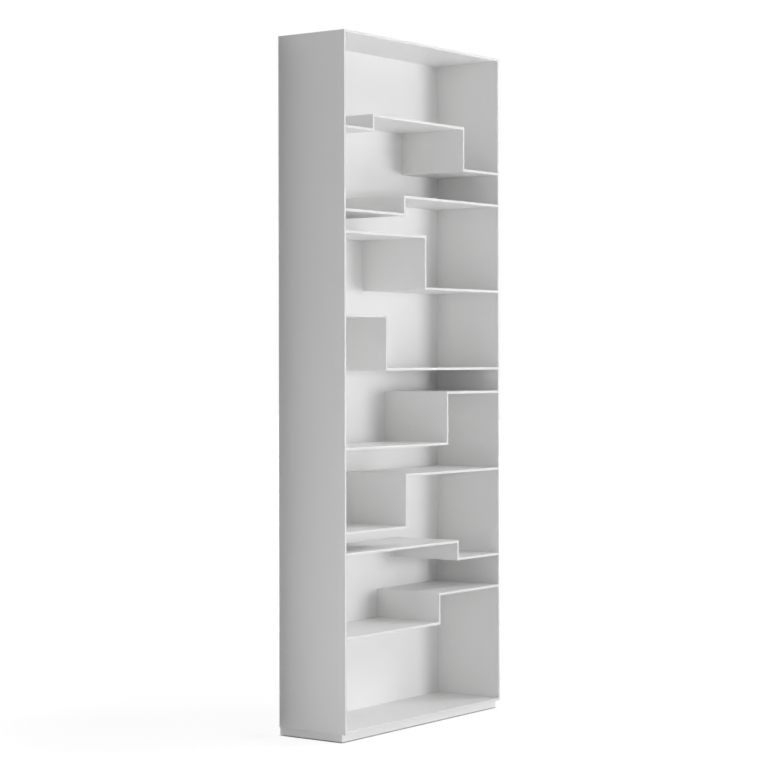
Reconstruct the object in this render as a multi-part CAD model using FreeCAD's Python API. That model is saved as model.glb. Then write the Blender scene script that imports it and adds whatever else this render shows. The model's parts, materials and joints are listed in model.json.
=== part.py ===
# Tall free-standing bookcase with eight thin shelves that step up and down like stairs.
# Millimetres. The origin is on the floor under the middle of the case. X runs to the right as seen
# from the front, Y from front to back and Z up.
import FreeCAD, Part
import math
import os

from FreeCAD import Vector

# Case
case_width = 868.0
case_depth = 260.0
case_board = 8.0
edge_chamfer = 0.6              # eased front edges and outer corners of every white board

# Back panel, let into a rebate round the rear of the case
back_board = 8.0
back_setback = 2.0              # rear edge of the case to the rear face of the panel
rebate_width = 4.0              # reach of the panel into each case board
rebate_fit = 0.1

# Bays from the top down: the least clear height between a stair and the one under it
bay_1_clear = 240.5
bay_2_clear = 99.5
bay_3_clear = 58.5
bay_4_clear = 251.0
bay_5_clear = 70.5
bay_6_clear = 85.5
bay_7_clear = 57.0
bay_8_clear = 99.0
bay_9_clear = 283.0

# Stairs from the top down: each step up or down, going right, and the left face of its riser,
# measured from the left face of the case
shelf_board = 8.0
shelf_1_first_step = 45.5
shelf_1_first_riser = 148.5
shelf_1_second_step = -138.0
shelf_1_second_riser = 650.5
shelf_2_step = 57.0
shelf_2_riser = 316.0
shelf_3_step = -167.0
shelf_3_riser = 430.5
shelf_4_step = -168.0
shelf_4_riser = 216.0
shelf_5_step = 167.0
shelf_5_riser = 554.5
shelf_6_step = 166.5
shelf_6_riser = 322.5
shelf_7_step = -58.0
shelf_7_riser = 614.0
shelf_8_step = 95.0
shelf_8_riser = 507.0

# Housings in the side panels, open to the rear, that take the ends of the treads
housing_depth = 3.0
housing_stop = 12.0             # front edge of the case to the front end of a housing
housing_fit = 0.1

# Screws through the back panel into the rear edges of the treads
back_screw_diameter = 3.0
back_screw_head = 6.0
back_screw_length = 28.0
back_screw_inset = 36.0         # end of a tread to its first screw
back_screw_pitch = 210.0        # the widest distance between two screws
screw_fit = 0.05
screw_tip = 3.0
recess_width = 0.9              # cross recess for the driver
recess_length = 3.4
recess_depth = 1.2

# Plinth under the case
plinth_height = 23.5
floor_gap = 2.5                 # floor to the underside of the plinth
plinth_board = 12.0
plinth_front_recess = 15.0
plinth_side_recess = 3.0
plinth_rear_recess = 1.0
block_size = 50.0               # corner block, square on plan

# Levelling feet, drawn screwed home
pad_diameter = 30.0
pad_height = 5.0
pad_bevel = 1.2
hexagon_width = 13.0            # across the flats
hexagon_height = 4.0
home_gap = 0.5                  # hexagon to the sleeve's flange
stem_diameter = 8.0
stem_bevel = 1.0
thread_fit = 0.15
spigot_diameter = 5.0
spigot_length = 3.0
spigot_fit = 0.05
spigot_end_gap = 0.3
sleeve_diameter = 12.0
sleeve_fit = 0.1
sleeve_cover = 2.0              # wood left above the sleeve
flange_diameter = 17.0
flange_height = 1.5

# Wall brackets on the rear edge of the top
bracket_inset = 150.0           # side of the case to the middle of a bracket
bracket_sheet = 2.0
bracket_bend = 1.5              # inner bend radius
bracket_width = 34.0
bracket_leg = 40.0
bracket_upright = 18.0
wall_hole_diameter = 5.5
bracket_screw_diameter = 3.5
bracket_screw_head = 7.0
bracket_screw_head_height = 2.2
bracket_screw_length = 7.5
bracket_screw_spacing = 18.0
bracket_screw_edge = 12.0       # front end of the leg to its screws

# Planes that the pieces share
left_face = -case_width / 2
right_face = case_width / 2
inner_left = left_face + case_board
inner_right = right_face - case_board
front_face = -case_depth / 2
rear_face = case_depth / 2
back_rear = rear_face - back_setback
back_front = back_rear - back_board
case_bottom = floor_gap + plinth_height
floor_board_top = case_bottom + case_board
bracket_spacing = case_width - 2 * bracket_inset

# Room for a cutting tool to pass a face
past = 1.0


def box(x, y, z):
    """Block between the two ends given on each axis."""
    return Part.makeBox(x[1] - x[0], y[1] - y[0], z[1] - z[0], Vector(x[0], y[0], z[0]))


def face_of(points):
    """Flat face inside a closed outline."""
    return Part.Face(Part.makePolygon(points + points[:1]))


def prism_along_y(outline, y_start, y_end):
    """Solid with the given outline in X and Z, from y_start to y_end."""
    points = [Vector(x, y_start, z) for x, z in outline]
    return face_of(points).extrude(Vector(0, y_end - y_start, 0))


def turned(profile):
    """Solid of revolution round Z from a half profile of radius and height."""
    points = [Vector(radius, 0, height) for radius, height in profile]
    return face_of(points).revolve(Vector(0, 0, 0), Vector(0, 0, 1), 360)


def eased_slab(x, y, z, lies_flat):
    """Block whose two long front edges are chamfered: top and bottom if it lies flat, else both sides."""
    thin = z if lies_flat else x
    section = [
        (y[0], thin[0] + edge_chamfer),
        (y[0], thin[1] - edge_chamfer),
        (y[0] + edge_chamfer, thin[1]),
        (y[1], thin[1]),
        (y[1], thin[0]),
        (y[0] + edge_chamfer, thin[0]),
    ]
    if lies_flat:
        points = [Vector(x[0], depth, across) for depth, across in section]
        return face_of(points).extrude(Vector(x[1] - x[0], 0, 0))
    points = [Vector(across, depth, z[0]) for depth, across in section]
    return face_of(points).extrude(Vector(0, 0, z[1] - z[0]))


def mitre_end(outer, inner, along):
    """Points of a mitred board end from its outer to its inner corner, the outer one eased.

    along is the direction, in X and Z, from the end into the board on its outer face.
    """
    across = (inner[0] - outer[0] - along[0] * abs(inner[0] - outer[0]),
              inner[1] - outer[1] - along[1] * abs(inner[1] - outer[1]))
    thickness = math.hypot(*across)
    half = edge_chamfer / 2
    eased = (outer[0] + along[0] * edge_chamfer, outer[1] + along[1] * edge_chamfer)
    middle = (outer[0] + half * (along[0] + across[0] / thickness),
              outer[1] + half * (along[1] + across[1] / thickness))
    return [eased, middle, inner]


class Stair:
    """One stepped shelf: the heights of its treads' upper faces and the places of its risers."""

    def __init__(self, steps, risers, clear, below):
        """Stack the stair over the one below, so that the narrowest place between them is clear."""
        self.risers = [left_face + riser for riser in risers]
        self.heights = [0.0]
        for step in steps:
            self.heights.append(self.heights[-1] + step)
        lift = clear + shelf_board + max(
            lower - upper
            for span, upper in self.spans()
            for lower_span, lower in below
            if span[0] < lower_span[1] and lower_span[0] < span[1])
        self.heights = [height + lift for height in self.heights]

    def spans(self):
        """Each tread's reach in X, risers included, with its height."""
        starts = [inner_left] + self.risers
        ends = [riser + shelf_board for riser in self.risers] + [inner_right]
        return [((start, end), height) for start, end, height in zip(starts, ends, self.heights)]

    def tread_outline(self, index):
        """Outline of one tread, mitred at its risers and square in the housings."""
        top = self.heights[index]
        bottom = top - shelf_board
        if index == 0:
            end = inner_left - housing_depth
            left = [(end, top), (end, bottom)]
        else:
            riser = self.risers[index - 1]
            rises = top > self.heights[index - 1]
            left = self.tread_end(riser, riser + shelf_board, top, bottom, rises, 1.0)
        if index == len(self.risers):
            end = inner_right + housing_depth
            right = [(end, top), (end, bottom)]
        else:
            riser = self.risers[index]
            falls = top > self.heights[index + 1]
            right = self.tread_end(riser + shelf_board, riser, top, bottom, falls, -1.0)
        return left + right[::-1]

    @staticmethod
    def tread_end(outer_x, inner_x, top, bottom, riser_hangs, inward):
        """Mitred end from top to bottom; the outer corner is on top where the riser hangs from it."""
        if riser_hangs:
            return mitre_end((outer_x, top), (inner_x, bottom), (inward, 0.0))
        return mitre_end((outer_x, bottom), (inner_x, top), (inward, 0.0))[::-1]

    def riser_outline(self, index):
        """Outline of one riser, mitred to the tread above and the tread below."""
        near = self.risers[index]
        far = near + shelf_board
        if self.heights[index] > self.heights[index + 1]:
            near, far = far, near
        high = max(self.heights[index:index + 2])
        low = min(self.heights[index:index + 2])
        upper = mitre_end((near, high), (far, high - shelf_board), (0.0, -1.0))
        lower = mitre_end((far, low - shelf_board), (near, low), (0.0, 1.0))
        return upper + lower


def stacked_stairs():
    """All stairs from the bottom up, returned from the top down."""
    plans = [
        ((shelf_1_first_step, shelf_1_second_step), (shelf_1_first_riser, shelf_1_second_riser), bay_2_clear),
        ((shelf_2_step,), (shelf_2_riser,), bay_3_clear),
        ((shelf_3_step,), (shelf_3_riser,), bay_4_clear),
        ((shelf_4_step,), (shelf_4_riser,), bay_5_clear),
        ((shelf_5_step,), (shelf_5_riser,), bay_6_clear),
        ((shelf_6_step,), (shelf_6_riser,), bay_7_clear),
        ((shelf_7_step,), (shelf_7_riser,), bay_8_clear),
        ((shelf_8_step,), (shelf_8_riser,), bay_9_clear),
    ]
    below = [((inner_left, inner_right), floor_board_top)]
    stairs = []
    for steps, risers, clear in reversed(plans):
        stair = Stair(steps, risers, clear, below)
        below = stair.spans()
        stairs.append(stair)
    return stairs[::-1]


stairs = stacked_stairs()
case_top = max(stairs[0].heights) + bay_1_clear + case_board


def rebate_room(fit):
    """Space of the back panel inside the case, less a fit all round."""
    reach = rebate_width - fit
    return ((inner_left - reach, inner_right + reach),
            (floor_board_top - reach, case_top - case_board + reach))


def case_boards():
    """The four mitred boards of the case, rebated for the back and housed for the treads."""
    inner_top = case_top - case_board
    top = (mitre_end((left_face, case_top), (inner_left, inner_top), (1.0, 0.0))
           + mitre_end((right_face, case_top), (inner_right, inner_top), (-1.0, 0.0))[::-1])
    bottom = (mitre_end((left_face, case_bottom), (inner_left, floor_board_top), (1.0, 0.0))
              + mitre_end((right_face, case_bottom), (inner_right, floor_board_top), (-1.0, 0.0))[::-1])
    left = (mitre_end((left_face, case_top), (inner_left, inner_top), (0.0, -1.0))
            + mitre_end((left_face, case_bottom), (inner_left, floor_board_top), (0.0, 1.0))[::-1])
    right = (mitre_end((right_face, case_top), (inner_right, inner_top), (0.0, -1.0))
             + mitre_end((right_face, case_bottom), (inner_right, floor_board_top), (0.0, 1.0))[::-1])
    depth = (front_face, rear_face)
    wide = (left_face, right_face)
    tall = (case_bottom, case_top)
    slabs = {
        "top_panel": (top, eased_slab(wide, depth, (inner_top, case_top), True)),
        "bottom_panel": (bottom, eased_slab(wide, depth, (case_bottom, floor_board_top), True)),
        "left_side_panel": (left, eased_slab((left_face, inner_left), depth, tall, False)),
        "right_side_panel": (right, eased_slab((inner_right, right_face), depth, tall, False)),
    }
    room_x, room_z = rebate_room(0.0)
    rebate = box(room_x, (back_front, rear_face + past), room_z)
    housings = {"left_side_panel": [], "right_side_panel": []}
    for stair in stairs:
        first = housing_room((inner_left - housing_depth - housing_fit, inner_left + past), stair.heights[0])
        last = housing_room((inner_right - past, inner_right + housing_depth + housing_fit), stair.heights[-1])
        housings["left_side_panel"].append(first)
        housings["right_side_panel"].append(last)
    boards = {}
    for name, (outline, slab) in slabs.items():
        board = slab.common(prism_along_y(outline, front_face, rear_face))
        boards[name] = board.cut([rebate] + housings.get(name, []))
    boards["top_panel"] = boards["top_panel"].cut([
        bracket_screw_room(x, y) for x, y in bracket_screw_places()])
    return boards


def housing_room(x, tread_top):
    """Groove for the end of a tread, which rests on its lower face."""
    return box(x, (front_face + housing_stop, back_front),
               (tread_top - shelf_board, tread_top + housing_fit))


def back_screw_places(stair):
    """Where the back screws enter the treads of one stair: X and Z, tread by tread."""
    places = []
    for (start, end), height in stair.spans():
        middle = (start + end) / 2
        reach = end - start - 2 * back_screw_inset
        gaps = math.ceil(reach / back_screw_pitch) if reach > back_screw_head else 0
        offsets = [reach * step / gaps - reach / 2 for step in range(gaps + 1)] if gaps else [0.0]
        places.append([(middle + offset, height - shelf_board / 2) for offset in offsets])
    return places


def countersunk_profile(fit):
    """Half profile of a back screw, its head's face at height 0 and its tip below."""
    shank = back_screw_diameter / 2 + fit
    head = back_screw_head / 2 + fit
    end = -back_screw_length - fit
    return [(0, 0), (head, 0), (shank, shank - head), (shank, end + screw_tip), (0, end)]


def cross_recess(face_height):
    """Cutter for the driver's cross recess in a screw head."""
    arms = [(recess_length, recess_width), (recess_width, recess_length)]
    return [box((-x / 2, x / 2), (-y / 2, y / 2), (face_height - recess_depth, face_height + past))
            for x, y in arms]


def driven_forward(shape, x, z):
    """Turn a screw that points down so that it points to the front, its head flush with the back."""
    placed = shape.copy()
    placed.rotate(Vector(0, 0, 0), Vector(1, 0, 0), -90)
    placed.translate(Vector(x, back_rear, z))
    return placed


def shelf_boards():
    """Treads and risers of every stair, named from left to right."""
    boards = {}
    screw_room = turned(countersunk_profile(screw_fit))
    for number, stair in enumerate(stairs, start=1):
        places = back_screw_places(stair)
        tread_names = ["left", "middle", "right"] if len(stair.risers) == 2 else ["left", "right"]
        riser_names = ["left_riser", "right_riser"] if len(stair.risers) == 2 else ["riser"]
        for index, side in enumerate(tread_names):
            top = stair.heights[index]
            reach = (inner_left - housing_depth, inner_right + housing_depth)
            slab = eased_slab(reach, (front_face, back_front), (top - shelf_board, top), True)
            tread = slab.common(prism_along_y(stair.tread_outline(index), front_face, back_front))
            cutters = [driven_forward(screw_room, x, z) for x, z in places[index]]
            cutters += tongue_notches(top)
            boards[f"shelf_{number}_{side}_tread"] = tread.cut(cutters)
        for index, name in enumerate(riser_names):
            near = stair.risers[index]
            outline = stair.riser_outline(index)
            ends = (min(z for x, z in outline), max(z for x, z in outline))
            slab = eased_slab((near, near + shelf_board), (front_face, back_front), ends, False)
            riser = slab.common(prism_along_y(outline, front_face, back_front))
            boards[f"shelf_{number}_{name}"] = riser
    return boards


def tongue_notches(top):
    """Cutters that square off the front of a tread's two ends, where the housings stop."""
    depth = (front_face - past, front_face + housing_stop + housing_fit)
    height = (top - shelf_board - past, top + past)
    return [
        box((inner_left - housing_depth - past, inner_left), depth, height),
        box((inner_right, inner_right + housing_depth + past), depth, height),
    ]


def back_panel():
    """Back panel, drilled and countersunk from behind."""
    room_x, room_z = rebate_room(rebate_fit)
    panel = box(room_x, (back_front, back_rear), room_z)
    screw_room = turned(countersunk_profile(screw_fit))
    holes = [driven_forward(screw_room, x, z)
             for stair in stairs for tread in back_screw_places(stair) for x, z in tread]
    return panel.cut(holes)


def back_panel_screws():
    """All countersunk screws of the back panel, as separate solids."""
    screw = turned(countersunk_profile(0.0)).cut(cross_recess(0.0))
    return Part.makeCompound([
        driven_forward(screw, x, z)
        for stair in stairs for tread in back_screw_places(stair) for x, z in tread])


plinth_left = left_face + plinth_side_recess
plinth_right = right_face - plinth_side_recess
plinth_front = front_face + plinth_front_recess
plinth_rear = rear_face - plinth_rear_recess


def plinth_rails():
    """Front and back rails over the full width, with the side rails between them."""
    tall = (floor_gap, case_bottom)
    wide = (plinth_left, plinth_right)
    between = (plinth_front + plinth_board, plinth_rear - plinth_board)
    return {
        "plinth_front_rail": box(wide, (plinth_front, between[0]), tall),
        "plinth_back_rail": box(wide, (between[1], plinth_rear), tall),
        "plinth_left_rail": box((plinth_left, plinth_left + plinth_board), between, tall),
        "plinth_right_rail": box((plinth_right - plinth_board, plinth_right), between, tall),
    }


def foot_places():
    """Middle of each corner block, by corner."""
    inset = plinth_board + block_size / 2
    return {
        "front_left": (plinth_left + inset, plinth_front + inset),
        "front_right": (plinth_right - inset, plinth_front + inset),
        "back_left": (plinth_left + inset, plinth_rear - inset),
        "back_right": (plinth_right - inset, plinth_rear - inset),
    }


# Heights of the pieces of a foot above the floor
hexagon_top = pad_height + hexagon_height
flange_bottom = hexagon_top + home_gap
block_bottom = flange_bottom + flange_height
sleeve_top = case_bottom - sleeve_cover


def corner_block():
    """Wooden block under the bottom panel, bored for its sleeve."""
    half = block_size / 2
    block = box((-half, half), (-half, half), (block_bottom, case_bottom))
    bore = Part.makeCylinder(sleeve_diameter / 2 + sleeve_fit, sleeve_top - block_bottom + past,
                             Vector(0, 0, block_bottom - past))
    return block.cut(bore)


def foot_sleeve():
    """Threaded sleeve, its flange against the underside of the block."""
    bore = stem_diameter / 2 + thread_fit
    barrel = sleeve_diameter / 2
    flange = flange_diameter / 2
    return turned([(bore, flange_bottom), (flange, flange_bottom), (flange, block_bottom),
                   (barrel, block_bottom), (barrel, sleeve_top), (bore, sleeve_top)])


def foot_pad():
    """Round floor pad with a socket for the stem's spigot."""
    outer = pad_diameter / 2
    socket = spigot_diameter / 2 + spigot_fit
    socket_floor = pad_height - spigot_length - spigot_end_gap
    return turned([(0, 0), (outer - pad_bevel, 0), (outer, pad_bevel), (outer, pad_height - pad_bevel),
                   (outer - pad_bevel, pad_height), (socket, pad_height), (socket, socket_floor),
                   (0, socket_floor)])


def foot_stem():
    """Threaded stem with its hexagon and the spigot that turns in the pad."""
    corner = hexagon_width / 2 / math.cos(math.pi / 6)
    corners = [Vector(corner * math.cos(math.radians(60 * side)),
                      corner * math.sin(math.radians(60 * side)), pad_height) for side in range(6)]
    hexagon = face_of(corners).extrude(Vector(0, 0, hexagon_height))
    spigot = spigot_diameter / 2
    rod = stem_diameter / 2
    round_part = turned([(0, pad_height - spigot_length), (spigot, pad_height - spigot_length),
                         (spigot, pad_height), (rod, hexagon_top), (rod, sleeve_top - stem_bevel),
                         (rod - stem_bevel, sleeve_top), (0, sleeve_top)])
    return hexagon.fuse(round_part).removeSplitter()


def feet():
    """Corner blocks, sleeves, pads and stems at the four corners."""
    pieces = {}
    sleeves = []
    for corner, (x, y) in foot_places().items():
        place = Vector(x, y, 0)
        pieces[f"{corner}_corner_block"] = corner_block().translated(place)
        pieces[f"{corner}_foot_pad"] = foot_pad().translated(place)
        pieces[f"{corner}_foot_stem"] = foot_stem().translated(place)
        sleeves.append(foot_sleeve().translated(place))
    pieces["foot_sleeves"] = Part.makeCompound(sleeves)
    return pieces


def bracket_screw_places():
    """Middle of each bracket screw in X and Y."""
    y = rear_face - bracket_leg + bracket_screw_edge
    return [(side * bracket_spacing / 2 + offset * bracket_screw_spacing / 2, y)
            for side in (-1, 1) for offset in (-1, 1)]


def bracket_screw_profile(fit):
    """Half profile of a bracket screw whose head sits on height 0."""
    shank = bracket_screw_diameter / 2 + fit
    head = bracket_screw_head / 2
    crown = bracket_screw_head_height
    end = -bracket_screw_length - fit
    return [(0, crown), (head - crown / 2, crown), (head, crown / 2), (head, 0), (shank, 0),
            (shank, end + screw_tip), (0, end)]


def bracket_screw_room(x, y):
    """Hole for a bracket screw through the bracket and into the top panel."""
    return turned(bracket_screw_profile(screw_fit)).translated(Vector(x, y, case_top + bracket_sheet))


def wall_bracket(x):
    """Bent steel angle with its upright flush with the rear edge, drilled for a wall screw."""
    inner = bracket_bend
    outer = bracket_bend + bracket_sheet
    back = rear_face
    low = case_top
    high = case_top + bracket_upright
    tip = back - bracket_leg
    slant = math.sqrt(0.5)
    centre_y = back - outer
    centre_z = low + outer
    start = x - bracket_width / 2

    def at(y, z):
        return Vector(start, y, z)

    def bend(radius, first, last):
        middle = at(centre_y + radius * slant, centre_z - radius * slant)
        return Part.Arc(first, middle, last).toShape()

    outer_arc = bend(outer, at(centre_y, low), at(back, centre_z))
    inner_arc = bend(inner, at(back - bracket_sheet, centre_z), at(centre_y, low + bracket_sheet))
    edges = [
        Part.makeLine(at(tip, low), at(centre_y, low)),
        outer_arc,
        Part.makeLine(at(back, centre_z), at(back, high)),
        Part.makeLine(at(back, high), at(back - bracket_sheet, high)),
        Part.makeLine(at(back - bracket_sheet, high), at(back - bracket_sheet, centre_z)),
        inner_arc,
        Part.makeLine(at(centre_y, low + bracket_sheet), at(tip, low + bracket_sheet)),
        Part.makeLine(at(tip, low + bracket_sheet), at(tip, low)),
    ]
    angle = Part.Face(Part.Wire(edges)).extrude(Vector(bracket_width, 0, 0))
    hole_height = (centre_z + high) / 2
    wall_hole = Part.makeCylinder(wall_hole_diameter / 2, bracket_sheet + 2 * past,
                                  Vector(x, back - bracket_sheet - past, hole_height), Vector(0, 1, 0))
    return angle.cut([wall_hole] + [bracket_screw_room(*place) for place in bracket_screw_places()])


def bracket_screws():
    """The screws of both brackets, as separate solids."""
    screw = turned(bracket_screw_profile(0.0)).cut(cross_recess(bracket_screw_head_height))
    return Part.makeCompound([screw.translated(Vector(x, y, case_top + bracket_sheet))
                              for x, y in bracket_screw_places()])


def all_pieces():
    """Every piece of the bookcase by name."""
    pieces = case_boards()
    pieces["back_panel"] = back_panel()
    pieces["back_panel_screws"] = back_panel_screws()
    pieces.update(shelf_boards())
    pieces.update(plinth_rails())
    pieces.update(feet())
    pieces["left_wall_bracket"] = wall_bracket(-bracket_spacing / 2)
    pieces["right_wall_bracket"] = wall_bracket(bracket_spacing / 2)
    pieces["wall_bracket_screws"] = bracket_screws()
    return pieces


def main():
    """Write each piece to its own file and print what was made."""
    os.makedirs("parts", exist_ok=True)
    pieces = all_pieces()
    for name, shape in sorted(pieces.items()):
        shape.exportStep(f"parts/{name}.step")
        print(f"{name}: {len(shape.Solids)} solids, {shape.Volume / 1000:.1f} cm3, valid {shape.isValid()}")
    print(f"{len(pieces)} nodes, case height {case_top:.1f}")


main()
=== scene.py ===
"""Finishes for a tall bookshelf with stepped shelves, its threaded hardware and a plain studio."""
import json
import math

import bmesh
import bpy
from bpy.props import FloatProperty, FloatVectorProperty, IntProperty, PointerProperty
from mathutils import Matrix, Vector


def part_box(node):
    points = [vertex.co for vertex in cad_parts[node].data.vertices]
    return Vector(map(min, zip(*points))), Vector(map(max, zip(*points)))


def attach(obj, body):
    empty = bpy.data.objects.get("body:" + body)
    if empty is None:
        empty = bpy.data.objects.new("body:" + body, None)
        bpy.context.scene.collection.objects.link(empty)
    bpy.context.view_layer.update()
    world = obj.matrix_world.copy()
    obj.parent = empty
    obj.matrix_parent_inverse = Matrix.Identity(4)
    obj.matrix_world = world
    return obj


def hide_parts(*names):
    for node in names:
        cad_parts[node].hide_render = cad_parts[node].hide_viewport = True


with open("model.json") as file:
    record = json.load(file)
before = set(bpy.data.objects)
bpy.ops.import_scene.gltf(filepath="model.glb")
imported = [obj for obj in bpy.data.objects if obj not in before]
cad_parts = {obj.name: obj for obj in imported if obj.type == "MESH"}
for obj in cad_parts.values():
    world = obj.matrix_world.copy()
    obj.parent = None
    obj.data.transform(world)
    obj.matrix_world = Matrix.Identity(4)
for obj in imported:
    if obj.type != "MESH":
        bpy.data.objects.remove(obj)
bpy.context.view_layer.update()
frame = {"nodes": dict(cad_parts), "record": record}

bl_info = {
    "name": "Staircase Bookshelf",
    "version": (1, 0, 0),
    "blender": (4, 5, 0),
    "location": "3D View > Sidebar > Bookshelf",
    "description": "Finishes and hardware of a lacquered bookshelf with stepped shelves",
    "category": "Object",
}

MM = 0.001

# How finely the turned pieces are drawn, and the angle from which an edge of theirs stays sharp
SCREW_SIDES = 20
SCREW_STEPS_PER_TURN = 4
STEM_SIDES = 24
STEM_STEPS_PER_TURN = 6
SIDES_PER_RIB = 4
BEVEL_STEPS = 4
DOME_STEPS = 6
SHARP_ANGLE = math.radians(38)

# Share of a thread's radius from which points take the thread
THREAD_SHARE = 0.9

# Depth at which a countersunk screw's thread starts, in heights of its head
THREAD_START = 1.5

# Share of a round screw head's height that its upright rim takes
DOME_RIM = 0.45

# Points of a packed piece that lie this close together are one point
MERGE_DISTANCE = 0.001 * MM

# Groups of the packed pieces, by the names that they carry
CORNERS = ("front_left", "front_right", "back_left", "back_right")
CASE_BOARDS = ("left_side_panel", "right_side_panel", "top_panel", "bottom_panel", "back_panel")
SHELF_BOARDS = tuple(sorted(name for name in frame["nodes"] if name.startswith("shelf_")))
PLINTH_RAILS = tuple(sorted(name for name in frame["nodes"] if name.startswith("plinth_")))
CORNER_BLOCKS = tuple(f"{corner}_corner_block" for corner in CORNERS)
WALL_BRACKETS = ("left_wall_bracket", "right_wall_bracket")

# Planes and sizes that the finishes and the hardware take from the packed model
CASE_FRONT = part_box("left_side_panel")[0].y
CASE_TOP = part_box("top_panel")[1].z
PAD_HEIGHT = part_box("front_left_foot_pad")[1].z
FOOT_COUPLING = frame["record"]["behaviour"]["couplings"][0]
FOOT_THREAD_PITCH = math.tau / abs(FOOT_COUPLING["ratio"])


class Wire:
    """An output of a node that takes part in sums, so that node maths reads as an expression."""

    def __init__(self, graph, socket):
        self.graph = graph
        self.socket = socket

    def output(self, name):
        """Another output of the same node."""
        return Wire(self.graph, self.socket.node.outputs[name])

    def maths(self, operation, *others):
        """Math node that starts with this value."""
        return self.graph.maths(operation, self, *others)

    def __add__(self, other):
        return self.graph.maths("ADD", self, other)

    def __radd__(self, other):
        return self.graph.maths("ADD", other, self)

    def __sub__(self, other):
        return self.graph.maths("SUBTRACT", self, other)

    def __rsub__(self, other):
        return self.graph.maths("SUBTRACT", other, self)

    def __mul__(self, other):
        return self.graph.maths("MULTIPLY", self, other)

    def __rmul__(self, other):
        return self.graph.maths("MULTIPLY", other, self)

    def __truediv__(self, other):
        return self.graph.maths("DIVIDE", self, other)

    def __rtruediv__(self, other):
        return self.graph.maths("DIVIDE", other, self)


class Graph:
    """A node tree under construction."""

    def __init__(self, tree):
        self.tree = tree
        tree.nodes.clear()

    def add(self, kind, settings=None, inputs=None, output=0):
        """Node of a kind: its settings first, then a value, a wire or a list of wires for each socket."""
        node = self.tree.nodes.new(kind)
        for name, value in (settings or {}).items():
            setattr(node, name, value)
        for key, value in (inputs or {}).items():
            for item in value if isinstance(value, list) else [value]:
                if isinstance(item, Wire):
                    self.tree.links.new(item.socket, node.inputs[key])
                else:
                    node.inputs[key].default_value = item
        return Wire(self, node.outputs[output]) if node.outputs else None

    def maths(self, operation, *values):
        """Math node on up to three values."""
        return self.add("ShaderNodeMath", {"operation": operation}, dict(enumerate(values)))

    def span(self, value, low, high):
        """0 up to low, 1 from high, and a soft rise between them."""
        return self.add("ShaderNodeMapRange", {"interpolation_type": "SMOOTHSTEP"},
                        {"Value": value, "From Min": low, "From Max": high})

    def mix(self, factor, first, second):
        """Blend of two colours, whose sockets go by number because other data types share their names."""
        return self.add("ShaderNodeMix", {"data_type": "RGBA"}, {0: factor, 6: first, 7: second}, output=2)

    def stretched(self, place, scale):
        """Object place with each axis scaled by itself."""
        return self.add("ShaderNodeMapping", inputs={"Vector": place, "Scale": scale})

    def noise(self, place, size, detail=2.0):
        """Cloudy value from 0 to 1 whose features are about as large as size."""
        return self.add("ShaderNodeTexNoise", inputs={"Vector": place, "Scale": 1 / size, "Detail": detail})

    def cells(self, place, size):
        """Uneven cells about as large as size: the distance, with the other outputs at hand."""
        return self.add("ShaderNodeTexVoronoi", inputs={"Vector": place, "Scale": 1 / size})

    def chance(self, cell):
        """Value from 0 to 1 that each of those cells has by chance."""
        return self.add("ShaderNodeRGBToBW", inputs={0: cell.output("Color")})

    def in_view(self):
        """1 for rays from the camera, a mirror or a clear piece, and 0 for those that only bring light."""
        rays = self.add("ShaderNodeLightPath")
        seen = rays.output("Is Camera Ray").maths("MAXIMUM", rays.output("Is Glossy Ray"))
        return seen.maths("MAXIMUM", rays.output("Is Transmission Ray"))

    def bump(self, height, depth, normal=None):
        """Surface normal tilted by a height from 0 to 1 that stands for depth."""
        inputs = {"Height": height, "Distance": depth, "Strength": 1.0}
        if normal is not None:
            inputs["Normal"] = normal
        return self.add("ShaderNodeBump", inputs=inputs)


def opaque(colour):
    """Colour with full alpha, as sockets take it."""
    return (*colour, 1.0)


def shaded(colour, factor):
    """Colour made lighter or darker by a factor, as sockets take it."""
    return opaque([channel * factor for channel in colour])


def new_material(name):
    """Bare material of that name, and the graph of its nodes."""
    material = bpy.data.materials.new(name)
    material.use_nodes = True
    return material, Graph(material.node_tree)


def finish(build, settings):
    """Material that carries the name of the function that describes it, built on its first use."""
    material = bpy.data.materials.get(build.__name__)
    if material is None:
        material, graph = new_material(build.__name__)
        place = graph.add("ShaderNodeTexCoord", output="Object")
        surface = graph.add("ShaderNodeBsdfPrincipled", inputs=build(graph, place, settings))
        graph.add("ShaderNodeOutputMaterial", inputs={"Surface": surface})
    return material


# Weights and scales of the lacquer's patterns, and limits between which a pattern sets in
HAZE_TONE = 0.35
HAZE_ROUGHNESS = 0.1
NIB_CHANCE = (0.86, 0.9)
EDGE_DEPTH = (1.5 * MM, 0.5 * MM)
FIBRE_SCALE = (0.3, 1.0, 0.3)
FIBRES_PER_RIPPLE = 2
FIBRE_HEIGHT = 0.6
FIBRE_ROUGHNESS = 0.05


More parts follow.
